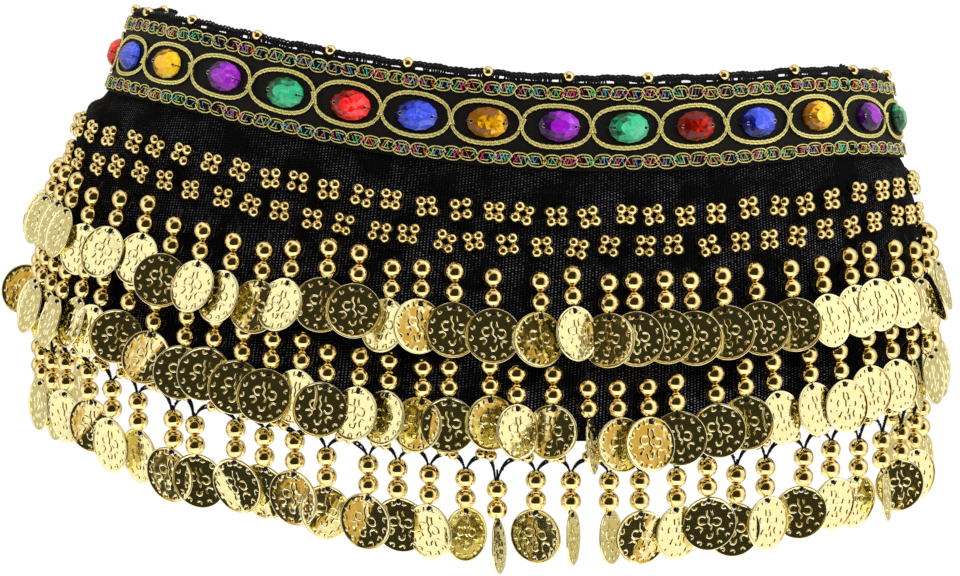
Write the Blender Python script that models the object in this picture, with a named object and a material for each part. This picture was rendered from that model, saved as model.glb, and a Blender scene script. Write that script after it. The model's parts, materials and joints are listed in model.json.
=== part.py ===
"""Hip scarf for belly dance, worn form, modelled in metres with +Z up.

The cloth is a wall bent round the hips. Every other piece is placed from the same
surface function, moved outwards.
"""
import math

import bmesh
import bpy
import numpy as np

# Sizes of the worn form, in millimetres
HALF_WIDTH = 174.8
HALF_DEPTH = 120.9
SIDE_FULLNESS = 0.055
SIDE_FLARE = 0.2365
SIDE_FLARE_EASING = 0.0005
FRONT_FLARE = 0.05
SIDE_RISE = 19.3
SIDE_SHORTENING = 0.05
WORN_TILT = 0.0754
SIDE_SAGS = (5.5, 9.4)
SIDE_TUCKS = (5.5, 0.0)
GATHER_LEVEL = 28.0
GATHER_EASING = 3.5
REFERENCE_HALF_WIDTH = 200.0
REFERENCE_HALF_DEPTH = 121.0

# Levels down the cloth from the middle of the ribbon, in millimetres
CLOTH_TOP = -19.0
CLOTH_HEM = 135.3
RIBBON_HALF_HEIGHT = 18.7
UPPER_BRAID_LEVEL = -14.4
LOWER_BRAID_LEVEL = 14.6
EDGING_LEVEL = -21.6
FIRST_BEAD_LEVELS = (65.8, 106.2, 152.7)

# Counts round a full circle of the hips
STRANDS_ROUND = 66.8
OVALS_ROUND = 29.86
EDGING_BEADS_ROUND = 25.1
EDGING_BEAD_PHASE = -0.23
PANEL_END = 0.2989

# Rows of strands: first and last strand, spacing, crowding to the left, and shift
ROW_RANGES = ((-19, 19), (-23, 19), (-20, 18))
ROW_SPACING = (1.0, 0.92, 1.0)
ROW_CROWDING = (0.0, 0.0043, 0.0)
ROW_PHASES = (0.09, 0.0, 0.715)

# Walls and gaps in millimetres
CLOTH_WALL = 2.0
RIBBON_INNER = 0.5
RIBBON_OUTER = 1.4
TRIM_INNER = 1.9
BRAID_OUTER = 2.8
OVAL_CORD_OUTER = 3.4
STRIP_INNER = 0.8
STRIP_OUTER = 2.0

# Coins, beads and stones in millimetres
COIN_DIAMETER = 23.6
COIN_HALF_THICKNESS = 0.5
BEAD_SPACING = 8.8
BEAD_HALF = 3.7
NECK_HALF = 0.7
STONE_HALF_LENGTH = 9.0
STONE_HALF_HEIGHT = 6.5
STONE_THICKNESS = 5.0

# Coins that hang turned: (row, strand) -> (turn, swing outwards) in degrees
TURNED_COINS = {
    (2, 0): (88.0, 0.0),
    (2, 2): (80.0, 0.0),
    (2, 3): (62.0, 0.0),
    (1, -19): (90.0, 47.0),
    (0, 15): (90.0, 47.0),
}

STONE_COLOURS = ("red", "blue", "amber", "purple", "green")
STONE_TINTS = {
    "red": (0.62, 0.01, 0.02),
    "blue": (0.02, 0.05, 0.55),
    "amber": (0.85, 0.30, 0.02),
    "purple": (0.22, 0.03, 0.42),
    "green": (0.01, 0.30, 0.18),
}


def clear_scene():
    for item in list(bpy.data.objects):
        bpy.data.objects.remove(item, do_unlink=True)


def make_material(name, colour, metallic, roughness):
    material = bpy.data.materials.new(name)
    material.use_nodes = True
    shader = material.node_tree.nodes["Principled BSDF"]
    shader.inputs["Base Color"].default_value = (*colour, 1.0)
    shader.inputs["Metallic"].default_value = metallic
    shader.inputs["Roughness"].default_value = roughness
    material.diffuse_color = (*colour, 1.0)
    return material


# Surface of the worn cloth

def angle_table():
    angles = np.linspace(-math.pi, math.pi, 1441)
    x = REFERENCE_HALF_WIDTH * np.sin(angles)
    y = -REFERENCE_HALF_DEPTH * np.cos(angles)
    steps = np.hypot(np.diff(x), np.diff(y))
    lengths = np.concatenate([[0.0], np.cumsum(steps)])
    return lengths / lengths[-1] - 0.5, angles


FRACTIONS, ANGLES = angle_table()


def angle_at(fraction):
    """Angle round the hips from the centre front, for a fraction of the full girth."""
    return float(np.interp(fraction, FRACTIONS, ANGLES))


def fuller(side):
    """Sideways share of the half width; the hips are fuller at their sides than an ellipse."""
    return side + SIDE_FULLNESS * side ** 5


def ribbon_shift(side, level):
    """Tuck and sag of the ribbon at each side of the hips, where the cloth is gathered."""
    share = max(0.0, (abs(side) - 0.72) / 0.28) ** 2
    share /= 1.0 + math.exp((level - GATHER_LEVEL) / GATHER_EASING)
    which = 1 if side > 0.0 else 0
    return SIDE_TUCKS[which] * share, SIDE_SAGS[which] * share


def raw_point(angle, level):
    half_width = HALF_WIDTH + SIDE_FLARE * level - SIDE_FLARE_EASING * level * level
    half_depth = HALF_DEPTH + FRONT_FLARE * level
    side = math.sin(angle)
    tuck, sag = ribbon_shift(side, level)
    x = half_width * fuller(side) + tuck
    y = -half_depth * math.cos(angle)
    z = -level * (1.0 - SIDE_SHORTENING * side * side) + SIDE_RISE * side * side - sag
    cosine = math.cos(WORN_TILT)
    sine = math.sin(WORN_TILT)
    return np.array([x * cosine + z * sine, y, z * cosine - x * sine])


def frame_at(fraction, level):
    """Point, sideways direction, outward direction and downward direction on the cloth."""
    angle = angle_at(fraction)
    point = raw_point(angle, level)
    sideways = raw_point(angle + 0.002, level) - raw_point(angle - 0.002, level)
    down = raw_point(angle, level + 0.5) - raw_point(angle, level - 0.5)
    sideways /= np.linalg.norm(sideways)
    outward = np.cross(sideways, -down)
    outward /= np.linalg.norm(outward)
    down = np.cross(outward, sideways) * -1.0
    return point, sideways, outward, down


def lifted(fraction, level, offset):
    point, _, outward, _ = frame_at(fraction, level)
    return point + outward * offset


# Mesh building

def build_object(name, points, faces, material, collection):
    mesh = bpy.data.meshes.new(name)
    scaled = [tuple(float(value) * 0.001 for value in point) for point in points]
    mesh.from_pydata(scaled, [], faces)
    editor = bmesh.new()
    editor.from_mesh(mesh)
    bmesh.ops.recalc_face_normals(editor, faces=editor.faces)
    bmesh.ops.triangulate(editor, faces=editor.faces)
    if editor.calc_volume(signed=True) < 0.0:
        bmesh.ops.reverse_faces(editor, faces=editor.faces)
    editor.to_mesh(mesh)
    editor.free()
    item = bpy.data.objects.new(name, mesh)
    item.data.materials.append(material)
    collection.objects.link(item)
    return item


def loft(sections):
    """Closed body through sections that all hold the same number of points."""
    count = len(sections[0])
    points = [point for section in sections for point in section]
    faces = []
    for index in range(len(sections) - 1):
        base = index * count
        for corner in range(count):
            following = (corner + 1) % count
            faces.append((base + corner, base + following,
                          base + count + following, base + count + corner))
    faces.append(tuple(reversed(range(count))))
    last = (len(sections) - 1) * count
    faces.append(tuple(range(last, last + count)))
    return points, faces


def wall_section(fraction, levels, inner, outer):
    """Section of a wall: down its outer face, then up its inner face."""
    front = [lifted(fraction, level, outer) for level in levels]
    back = [lifted(fraction, level, inner) for level in reversed(levels)]
    return front + back


def grid_wall(columns, levels, inner, outer):
    """Closed wall over a grid of columns and levels, its ends capped level by level."""
    sections = [wall_section(column, levels, inner, outer) for column in columns]
    points, faces = loft(sections)
    faces = faces[:-2]
    rows = len(levels)
    last = (len(columns) - 1) * rows * 2
    for base in (0, last):
        for row in range(rows - 1):
            faces.append((base + row, base + row + 1,
                          base + 2 * rows - 2 - row, base + 2 * rows - 1 - row))
    return points, faces


class Hanging:
    """Narrow strip with strands that grow out of its lower face."""

    def __init__(self, columns, strands):
        self.points = []
        self.faces = []
        for column in columns:
            self.points.extend(column)
        for span in range(len(columns) - 1):
            self.add_span(span, strands.get(span))
        last = 4 * (len(columns) - 1)
        self.faces.append((0, 1, 2, 3))
        self.faces.append((last + 3, last + 2, last + 1, last))

    def add_span(self, span, strand):
        left = 4 * span
        right = left + 4
        for first, second in ((0, 1), (1, 2), (3, 0)):
            self.faces.append((left + first, left + second, right + second, right + first))
        ring = (left + 3, right + 3, right + 2, left + 2)
        if strand is None:
            self.faces.append(ring)
            return
        for section in strand:
            start = len(self.points)
            self.points.extend(section)
            new_ring = (start, start + 1, start + 2, start + 3)
            for corner in range(4):
                following = (corner + 1) % 4
                self.faces.append((ring[corner], ring[following],
                                   new_ring[following], new_ring[corner]))
            ring = new_ring
        self.faces.append(ring)


def quad_section(centre, sideways, outward):
    return [centre - sideways + outward, centre + sideways + outward,
            centre + sideways - outward, centre - sideways - outward]


# Beaded strands with coins

def hanging_point(row, fraction, level, root_level, offset):
    """Point on a strand: it drops straight down, lying on the cloth where there is cloth."""
    angle = angle_at(fraction)
    girth = 2.0 * math.pi * math.sqrt((HALF_WIDTH ** 2 + HALF_DEPTH ** 2) / 2.0)
    drift = WORN_TILT * (level - root_level) * math.cos(angle) / girth
    if row < 2:
        return frame_at(fraction + drift, level), offset
    point, sideways, outward, down = frame_at(fraction, root_level)
    down = np.array([0.0, 0.0, -1.0])
    outward = outward - down * float(outward @ down)
    outward /= np.linalg.norm(outward)
    point = point + down * (level - root_level)
    return (point, sideways, outward, down), offset


def strand_fraction(row, index):
    place = ROW_SPACING[row] * index + ROW_CROWDING[row] * index * index
    return (place + ROW_PHASES[row]) / STRANDS_ROUND


def coin_jitter(row, index):
    """Small repeatable irregularity between -1 and 1."""
    value = math.sin(12.9898 * (index + 31) + 78.233 * (row + 1)) * 43758.5453
    return 2.0 * (value - math.floor(value)) - 1.0


def coin_sections(row, index, fraction, root_level, coin_level):
    turn, swing = TURNED_COINS.get((row, index), (0.0, 0.0))
    outer_layer = (index + row) % 2 == 0
    if turn == 0.0:
        turn = coin_jitter(row, index) * (5.0 if outer_layer else 3.0)
    base = -4.9 if row == 2 else 0.0
    top_offset, end_offset = (6.6, 9.2) if outer_layer else (4.0, 3.4)
    if (row, index) in TURNED_COINS:
        top_offset = 5.0
        end_offset = 5.0
    frame, _ = hanging_point(row, fraction, coin_level, root_level, 0.0)
    point, sideways, outward, down = frame
    start = point + outward * (base + top_offset)
    lean = math.radians(swing) + math.atan2(end_offset - top_offset, COIN_DIAMETER)
    axis = down * math.cos(lean) + outward * math.sin(lean)
    face_out = outward * math.cos(lean) - down * math.sin(lean)
    swapped = turn > 45.0
    angle = math.radians(turn - 90.0 if swapped else turn)
    across = sideways * math.cos(angle) + face_out * math.sin(angle)
    through = face_out * math.cos(angle) - sideways * math.sin(angle)
    sections = []
    for share, width in ((0.0, 0.41), (0.29, 1.0), (0.71, 1.0), (1.0, 0.41)):
        centre = start + axis * (share * COIN_DIAMETER)
        half = width * COIN_DIAMETER / 2.0
        if swapped:
            sections.append(quad_section(centre, across * COIN_HALF_THICKNESS, through * half))
        else:
            sections.append(quad_section(centre, across * half, through * COIN_HALF_THICKNESS))
    return sections


def strand_sections(row, index, fraction, root_level, bead_level):
    base = -1.0 if row == 2 else 4.9
    marks = ((bead_level, BEAD_HALF), (bead_level + BEAD_SPACING / 2.0, NECK_HALF),
             (bead_level + BEAD_SPACING, BEAD_HALF))
    sections = []
    for level, half in marks:
        frame, offset = hanging_point(row, fraction, level, root_level, base)
        point, sideways, outward, _ = frame
        sections.append(quad_section(point + outward * offset,
                                     sideways * half, outward * half))
    coin_level = bead_level + BEAD_SPACING + 3.7
    return sections + coin_sections(row, index, fraction, root_level, coin_level)


def strip_column(fraction, top, bottom, inner, outer):
    return [lifted(fraction, top, outer), lifted(fraction, top, inner),
            lifted(fraction, bottom, inner), lifted(fraction, bottom, outer)]


def coin_row(row):
    """Columns of the backing and the strands under it, for one of the three rows."""
    columns = []
    strands = {}
    bead_level = FIRST_BEAD_LEVELS[row]
    half_root = 0.75 / 1000.0
    if row < 2:
        top, bottom = bead_level - 5.6, bead_level - 4.2
        inner, outer = STRIP_INNER, STRIP_OUTER
    else:
        top, bottom = bead_level - 5.8, bead_level - 4.2
        inner, outer = -1.75, -0.25
    apex = CLOTH_HEM + 0.4
    for index in range(ROW_RANGES[row][0], ROW_RANGES[row][1] + 1):
        fraction = strand_fraction(row, index)
        if row == 2:
            middle = fraction - 0.5 / STRANDS_ROUND
            columns.append(strip_column(middle, apex, apex + 1.6, inner, outer))
        columns.append(strip_column(fraction - half_root, top, bottom, inner, outer))
        columns.append(strip_column(fraction + half_root, top, bottom, inner, outer))
        strands[len(columns) - 2] = strand_sections(row, index, fraction, bottom, bead_level)
    if row == 2:
        middle = fraction + 0.5 / STRANDS_ROUND
        columns.append(strip_column(middle, apex, apex + 1.6, inner, outer))
    return Hanging(columns, strands)


# Trims on the ribbon

def even_columns(count):
    return [PANEL_END * (2.0 * index / (count - 1) - 1.0) for index in range(count)]


def oval_fraction(position):
    """Fraction of the girth at a junction number of the oval chain."""
    return (position + 0.26) / OVALS_ROUND


def oval_chain(first, last):
    """One body: each oval is an upper and a lower cord, joined to the next at a knot."""
    points = []
    faces = []
    half_height = 9.9
    roundness = 2.3
    cord = 2.3
    knot = 0.045

    def add_pair(position, upper, lower):
        start = len(points)
        fraction = oval_fraction(position)
        for level in (upper, lower):
            points.append(lifted(fraction, level, OVAL_CORD_OUTER))
            points.append(lifted(fraction, level, TRIM_INNER))
        return start

    def bridge(left, right):
        faces.append((left, left + 1, right + 1, right))
        faces.append((left + 1, left + 3, right + 3, right + 1))
        faces.append((left + 3, left + 2, right + 2, right + 3))
        faces.append((left + 2, left, right, right + 2))

    def add_knot_side(position):
        start = len(points)
        fraction = oval_fraction(position)
        for level in (-cord * 0.8, 0.0, cord * 0.8):
            points.append(lifted(fraction, level, OVAL_CORD_OUTER))
            points.append(lifted(fraction, level, TRIM_INNER))
        return start

    def add_knot(position, open_left, open_right):
        left = add_knot_side(position - knot)
        right = add_knot_side(position + knot)
        faces.append((left, left + 1, right + 1, right))
        faces.append((left + 4, left + 5, right + 5, right + 4))
        for row in (0, 2):
            faces.append((left + row, left + row + 2, right + row + 2, right + row))
            faces.append((left + row + 1, left + row + 3, right + row + 3, right + row + 1))
            if not open_left:
                faces.append((left + row, left + row + 1, left + row + 3, left + row + 2))
            if not open_right:
                faces.append((right + row, right + row + 1, right + row + 3, right + row + 2))
        return left, right

    previous = None
    for number in range(first, last + 1):
        left, right = add_knot(number, number > first, number < last)
        if previous is not None:
            for side in (-1.0, 1.0):
                base = previous + (0 if side < 0 else 2)
                for share in (0.11, 0.33, 0.67, 0.89):
                    reach = 1.0 - abs(2.0 * share - 1.0) ** roundness
                    height = half_height * reach ** (1.0 / roundness)
                    outer = side * height
                    inner = side * (height - cord)
                    pair = (outer, inner) if side < 0 else (inner, outer)
                    start = add_pair(number - 1 + share, *pair)
                    bridge(base, start)
                    base = start
                bridge(base, left + (0 if side < 0 else 2))
        previous = right
    return points, faces


def stone(fraction, slide):
    """Flat-backed oval stone with a bevelled crown, set tangent to the ribbon."""
    point, sideways, outward, down = frame_at(fraction, slide)
    base = point + outward * TRIM_INNER
    points = []
    rings = ((1.0, 0.0), (1.0, 1.6), (0.62, STONE_THICKNESS))
    sides = 10
    for scale, height in rings:
        for corner in range(sides):
            angle = 2.0 * math.pi * corner / sides
            points.append(base + outward * height
                          + sideways * (STONE_HALF_LENGTH * scale * math.cos(angle))
                          + down * (STONE_HALF_HEIGHT * scale * math.sin(angle)))
    sections = [points[start:start + sides] for start in range(0, len(points), sides)]
    return loft(sections)


def top_edging():
    """Cord above the ribbon, thick at its beads, with two short legs after each bead."""
    columns = [edging_column(-PANEL_END + 0.0015, 1.1)]
    legs = {}
    half_leg = 0.9 / 1000.0
    for number in range(-7, 8):
        middle = (number + EDGING_BEAD_PHASE) / EDGING_BEADS_ROUND
        for shift, half in ((-2.6, 1.1), (-1.3, 2.2), (1.3, 2.2), (2.6, 1.1)):
            columns.append(edging_column(middle + shift / 1000.0, half))
        for share in (1.0 / 3.0, 2.0 / 3.0):
            fraction = middle + share / EDGING_BEADS_ROUND
            if fraction > PANEL_END - 0.01:
                continue
            columns.append(edging_column(fraction - half_leg, 1.1))
            columns.append(edging_column(fraction + half_leg, 1.1))
            point, sideways, outward, _ = frame_at(fraction, CLOTH_TOP - 0.4)
            legs[len(columns) - 2] = [quad_section(point - outward, sideways * 0.9, outward * 0.7)]
    columns.append(edging_column(PANEL_END - 0.0015, 1.1))
    return Hanging(columns, legs)


def edging_column(fraction, half):
    point, _, outward, down = frame_at(fraction, EDGING_LEVEL)
    centre = point - outward
    return [centre - down * half + outward * half, centre - down * half - outward * half,
            centre + down * half - outward * half, centre + down * half + outward * half]


# Plain ties at the back

def tie_point(angle, drop):
    """Point on the line the ties follow, from the side of the hips to the centre back."""
    half_width = HALF_WIDTH + 4.0
    half_depth = HALF_DEPTH
    side = math.sin(angle)
    tuck, sag = ribbon_shift(side, 0.0)
    z = SIDE_RISE * side * side - drop - sag
    x = half_width * fuller(side) + tuck
    return np.array([x, -half_depth * math.cos(angle), z - x * WORN_TILT])


def tie_sections(sign):
    start = angle_at(PANEL_END)
    end = math.pi - 0.057
    seam = sign * (PANEL_END + 0.4 / 1000.0)
    sections = [[lifted(seam, -16.0, 1.0), lifted(seam, 16.0, 1.0),
                 lifted(seam, 16.0, -1.0), lifted(seam, -16.0, -1.0)]]
    for step in range(1, 11):
        share = step / 10.0
        angle = start + (end - start) * share
        drop = 4.0 + 18.0 * share
        half_height = 17.0 - 8.0 * share ** 0.7
        point = tie_point(sign * angle, drop)
        ahead = tie_point(sign * (angle + 0.01), drop) - point
        outward = np.cross(ahead, np.array([0.0, 0.0, 1.0])) * sign
        outward /= np.linalg.norm(outward)
        up = np.array([0.0, 0.0, half_height])
        sections.append([point + up + outward, point - up + outward,
                         point - up - outward, point + up - outward])
    return sections


def knot_sections():
    centre = tie_point(math.pi, 23.0)
    sections = []
    for step in range(7):
        angle = math.pi * (step + 0.5) / 7.0
        x = -10.0 * math.cos(angle)
        radius = math.sin(angle)
        ring = []
        for corner in range(10):
            turn = 2.0 * math.pi * corner / 10.0
            ring.append(centre + np.array([x, 9.0 * radius * math.cos(turn),
                                           14.0 * radius * math.sin(turn)]))
        sections.append(ring)
    return sections


def tail_sections(sign):
    sections = []
    for step in range(7):
        share = step / 6.0
        x = sign * (3.4 + 26.0 * share)
        y = HALF_DEPTH + 0.5 + 6.0 * math.sin(2.2 * share)
        z = -35.2 - 80.0 * share
        half = 3.0 + 9.0 * share ** 0.6
        centre = np.array([x + sign * half, y, z])
        across = np.array([half, 0.0, sign * half * 0.25])
        through = np.array([0.0, 0.9, 0.0])
        sections.append(quad_section(centre, across, through))
    return sections


def build_cloth(collection, black):
    levels = [CLOTH_TOP, 2.0, 20.0, 35.0, 55.0, 85.0, 112.0, CLOTH_HEM]
    points, faces = grid_wall(even_columns(62), levels, -CLOTH_WALL, 0.0)
    build_object("cloth_panel", points, faces, black, collection)


def build_ribbon(collection, satin, thread):
    levels = [-RIBBON_HALF_HEIGHT, 0.0, RIBBON_HALF_HEIGHT]
    points, faces = grid_wall(even_columns(62), levels, RIBBON_INNER, RIBBON_OUTER)
    build_object("ribbon_band", points, faces, satin, collection)
    braids = (("braid_upper", UPPER_BRAID_LEVEL), ("braid_lower", LOWER_BRAID_LEVEL))
    for name, level in braids:
        half = 2.8
        sections = [wall_section(column, [level - half, level + half], TRIM_INNER, BRAID_OUTER)
                    for column in even_columns(62)]
        points, faces = loft(sections)
        build_object(name, points, faces, thread, collection)


def build_trims(collection, cord, black):
    points, faces = oval_chain(-9, 8)
    build_object("oval_cord_chain", points, faces, cord, collection)
    for number in range(-9, 8):
        colour = STONE_COLOURS[(number + 3) % 5]
        slide = 0.4 * coin_jitter(7, number)
        shift = 1.0 + 1.0 * coin_jitter(5, number)
        fraction = oval_fraction(number + 0.5) + shift / 1000.0
        points, faces = stone(fraction, slide)
        tint = make_material("stone_" + colour, STONE_TINTS[colour], 0.0, 0.05)
        build_object("stone_%02d" % (number + 10), points, faces, tint, collection)
    edging = top_edging()
    build_object("edging_cord", edging.points, edging.faces, black, collection)


def build_rows(collection, gold):
    names = ("coin_row_upper", "coin_row_middle", "coin_row_hem")
    for row, name in enumerate(names):
        hanging = coin_row(row)
        build_object(name, hanging.points, hanging.faces, gold, collection)


def build_ties(collection, black):
    for name, sign in (("tie_left", -1.0), ("tie_right", 1.0)):
        points, faces = loft(tie_sections(sign))
        build_object(name, points, faces, black, collection)
    points, faces = loft(knot_sections())
    build_object("tie_knot", points, faces, black, collection)
    for name, sign in (("tie_tail_left", -1.0), ("tie_tail_right", 1.0)):
        points, faces = loft(tail_sections(sign))
        build_object(name, points, faces, black, collection)


def main():
    clear_scene()
    collection = bpy.data.collections.new("belly_dance_hip_scarf")
    bpy.context.scene.collection.children.link(collection)
    black = make_material("black_knit", (0.012, 0.012, 0.014), 0.0, 0.9)
    satin = make_material("black_satin", (0.015, 0.015, 0.017), 0.0, 0.35)
    thread = make_material("metallic_thread", (0.45, 0.30, 0.30), 0.6, 0.35)
    gold = make_material("gold_metal", (0.83, 0.61, 0.22), 1.0, 0.25)
    cord = make_material("gold_cord", (0.72, 0.52, 0.20), 0.5, 0.4)
    build_cloth(collection, black)
    build_ribbon(collection, satin, thread)
    build_trims(collection, cord, black)
    build_rows(collection, gold)
    build_ties(collection, black)


main()
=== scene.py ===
"""Dressed model of a belly dance hip scarf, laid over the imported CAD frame.

Lengths inside the helpers are millimetres and are turned into metres when a mesh is made.
"""
import json
import math

import bpy
import numpy as np
from mathutils import Matrix, Vector
from mathutils.geometry import delaunay_2d_cdt

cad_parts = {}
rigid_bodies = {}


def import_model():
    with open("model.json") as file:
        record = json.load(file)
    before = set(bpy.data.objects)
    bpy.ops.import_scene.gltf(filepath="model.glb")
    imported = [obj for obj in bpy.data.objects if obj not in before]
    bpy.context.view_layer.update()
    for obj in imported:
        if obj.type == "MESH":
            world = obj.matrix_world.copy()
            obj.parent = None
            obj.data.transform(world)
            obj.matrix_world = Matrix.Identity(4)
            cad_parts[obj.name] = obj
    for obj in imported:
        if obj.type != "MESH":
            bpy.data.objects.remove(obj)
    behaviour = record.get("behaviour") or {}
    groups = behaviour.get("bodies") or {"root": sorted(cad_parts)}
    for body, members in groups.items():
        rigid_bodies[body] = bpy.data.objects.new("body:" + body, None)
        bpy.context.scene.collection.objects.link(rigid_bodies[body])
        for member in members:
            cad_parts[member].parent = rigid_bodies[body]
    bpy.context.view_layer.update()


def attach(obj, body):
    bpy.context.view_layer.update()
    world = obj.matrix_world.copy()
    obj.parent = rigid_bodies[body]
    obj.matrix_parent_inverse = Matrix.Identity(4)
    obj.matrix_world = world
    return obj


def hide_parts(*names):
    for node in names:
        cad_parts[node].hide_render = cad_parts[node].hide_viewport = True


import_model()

MM = 0.001

# Worn form, in millimetres, as in the CAD source
HALF_WIDTH = 174.8
HALF_DEPTH = 120.9
SIDE_FULLNESS = 0.055
SIDE_FLARE = 0.2365
SIDE_FLARE_EASING = 0.0005
FRONT_FLARE = 0.05
SIDE_RISE = 19.3
SIDE_SHORTENING = 0.05
WORN_TILT = 0.0754
SIDE_SAGS = (5.5, 9.4)
SIDE_TUCKS = (5.5, 0.0)
SIDE_HOLD = 0.72
GATHER_LEVEL = 28.0
GATHER_EASING = 3.5
REFERENCE_HALF_WIDTH = 200.0
REFERENCE_HALF_DEPTH = 121.0
GIRTH = 964.0

# Levels down the cloth from the middle of the ribbon
CLOTH_TOP = -19.0
CLOTH_HEM = 135.3
RIBBON_HALF_HEIGHT = 18.7
BRAID_LEVELS = (-14.4, 14.6)
EDGING_LEVEL = -21.6
CLUSTER_LEVELS = (37.8, 51.7)
FIRST_BEAD_LEVELS = (65.8, 106.2, 152.7)
HEM_APEX_LEVEL = 143.2
HEM_CLUSTER_LEVEL = 140.2

# Counts round a full circle of the hips
STRANDS_ROUND = 66.8
OVALS_ROUND = 29.86
OVAL_PHASE = 0.26
EDGING_BEADS_ROUND = 25.1
EDGING_BEAD_PHASE = -0.23
PANEL_END = 0.2989

# Rows of strands: first and last strand, spacing, crowding to the left, and shift
ROW_RANGES = ((-19, 19), (-23, 19), (-20, 18))
ROW_SPACING = (1.0, 0.92, 1.0)
ROW_CROWDING = (0.0, 0.0043, 0.0)
ROW_PHASES = (0.09, 0.0, 0.715)
CLUSTER_RANGE = range(-19, 20)
CLUSTER_PHASES = (-0.13, -0.51)

# Trim sizes in millimetres
COIN_RADIUS = 11.9
COIN_THICKNESS = 0.45
BEAD_RADIUS = 4.5
BEAD_SPACING = 8.8
SMALL_BEAD_RADIUS = 2.5
CLUSTER_HALF_WIDTH = 2.45
CLUSTER_HALF_HEIGHT = 2.35
STONE_HALF_LENGTH = 9.0
STONE_HALF_HEIGHT = 6.6
OVAL_HALF_HEIGHT = 9.4
LINK_PITCH = 7.5
OVAL_NUMBERS = range(-9, 8)
EDGING_BEAD_NUMBERS = range(-7, 8)

# How far trim stands off the cloth, and a strand's root above its first bead, in millimetres
STRAND_OFFSET = 4.9
HEM_STRAND_OFFSET = -1.0
CLUSTER_OFFSET = 1.9
HEM_CLUSTER_OFFSET = -0.2
ROOT_RISE = 4.2

# How each coin hangs in the photo, strand by strand from the viewer's left.
# D faces the viewer, O and A are turned a little, H too but creased, P well away, N and E near edge-on.
COIN_STATES = (
    (-14, "NPPPDPPHPDDPADDHPODDDDDDPPPPNNEEE"),
    (-13, "PDHDDDDPDPPADAPHEAADDDPPPPPE"),
    (-14, "PHPPADHHAHHDPPEAENHPDDPDPPEOP"),
)

# Strands sewn out of line, row by row: sideways and downward shift in millimetres
UNEVEN_STRANDS = (
    {-14: (-1.5, 0.0), -13: (-2.0, 3.5), -11: (1.5, -2.0), -10: (2.0, 3.5), -9: (2.0, 2.0), -8: (2.0, 3.0),
     -7: (1.5, 3.5), -5: (1.0, -3.5), -4: (0.0, -3.5), -2: (-2.0, -1.0), -1: (-2.5, -1.0), 1: (4.5, 0.5),
     2: (3.5, -2.5), 3: (4.5, 0.5), 4: (1.0, 0.0), 6: (-3.0, 1.0), 7: (-3.0, 0.0), 8: (-2.5, -0.5),
     12: (-2.5, -2.0), 14: (0.0, 3.5), 15: (0.0, 3.5)},
    {-19: (0.0, -3.5), -14: (0.0, -3.5), -13: (0.0, -3.5), -12: (2.0, -6.0), -11: (2.0, -1.5),
     -9: (0.0, -2.5), -6: (1.5, -2.5), 0: (2.0, -3.0), 3: (1.5, 5.5), 4: (0.0, 5.5), 5: (-1.0, 5.5),
     6: (-3.0, 4.0), 7: (0.0, 2.0), 9: (-2.5, 0.0), 12: (1.0, -3.0), 13: (0.0, -3.0)},
    {-14: (-1.5, -3.0), -13: (-0.5, -4.0), -10: (2.0, 2.0), -9: (-2.0, 1.5), -8: (2.5, -2.5), -7: (1.0, -2.5),
     -6: (0.0, -4.0), -4: (2.5, 0.0), 0: (-2.0, 4.5), 6: (0.0, -2.5), 7: (-1.5, 2.5), 8: (-2.5, 1.5),
     11: (1.5, 2.5), 12: (1.5, 2.5), 13: (1.0, 2.0), 15: (2.5, -2.5)},
)

# How far the other strands scatter, in millimetres
SHIFT_SPREAD = 1.5
DROP_SPREAD = 0.8

# How the middle row's strands spread apart at the far left, in millimetres at most
LEFT_SPREAD = 9.0
LEFT_SPREAD_START = -10
LEFT_SPREAD_STRANDS = 13.0

# Coins that stand out past the sides of the cloth: swing and turn in degrees
SWUNG_COINS = {(1, -19): (24.0, 28.0), (0, 15): (18.0, 62.0)}

STONE_COLOURS = ("red", "blue", "amber", "purple", "green")
STONE_TINTS = {
    "red": (0.72, 0.004, 0.006),
    "blue": (0.028, 0.062, 0.66),
    "amber": (1.0, 0.50, 0.004),
    "purple": (0.27, 0.006, 0.50),
    "green": (0.020, 0.40, 0.20),
}

THREAD_TINTS = (
    (0.95, 0.06, 0.42),
    (0.10, 0.85, 0.85),
    (1.0, 0.22, 0.06),
    (0.14, 0.36, 0.95),
    (0.22, 0.85, 0.20),
    (1.0, 0.85, 0.45),
)
GOLD_THREAD = (1.0, 0.92, 0.36)


# Surface of the worn cloth

def angle_table():
    """Girth fractions and the angles round the hips at which they lie."""
    angles = np.linspace(-math.pi, math.pi, 1441)
    x = REFERENCE_HALF_WIDTH * np.sin(angles)
    y = -REFERENCE_HALF_DEPTH * np.cos(angles)
    lengths = np.concatenate([[0.0], np.cumsum(np.hypot(np.diff(x), np.diff(y)))])
    return lengths / lengths[-1] - 0.5, angles


FRACTIONS, ANGLES = angle_table()


def surface_at_angle(angle, level):
    """Points of the worn surface, whose sides flare, rise and sag."""
    half_width = HALF_WIDTH + SIDE_FLARE * level - SIDE_FLARE_EASING * level * level
    half_depth = HALF_DEPTH + FRONT_FLARE * level
    side = np.sin(angle)
    held = np.clip((np.abs(side) - SIDE_HOLD) / (1.0 - SIDE_HOLD), 0.0, 1.0) ** 2
    held = held / (1.0 + np.exp((level - GATHER_LEVEL) / GATHER_EASING))
    left = side < 0.0
    x = half_width * (side + SIDE_FULLNESS * side ** 5) + held * np.where(left, *SIDE_TUCKS)
    y = -half_depth * np.cos(angle)
    z = -level * (1.0 - SIDE_SHORTENING * side * side) + SIDE_RISE * side * side
    z = z - held * np.where(left, *SIDE_SAGS)
    cosine = math.cos(WORN_TILT)
    sine = math.sin(WORN_TILT)
    return np.stack([x * cosine + z * sine, y + 0.0 * z, z * cosine - x * sine], axis=-1)


def unit(vectors):
    return vectors / np.linalg.norm(vectors, axis=-1, keepdims=True)


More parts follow.
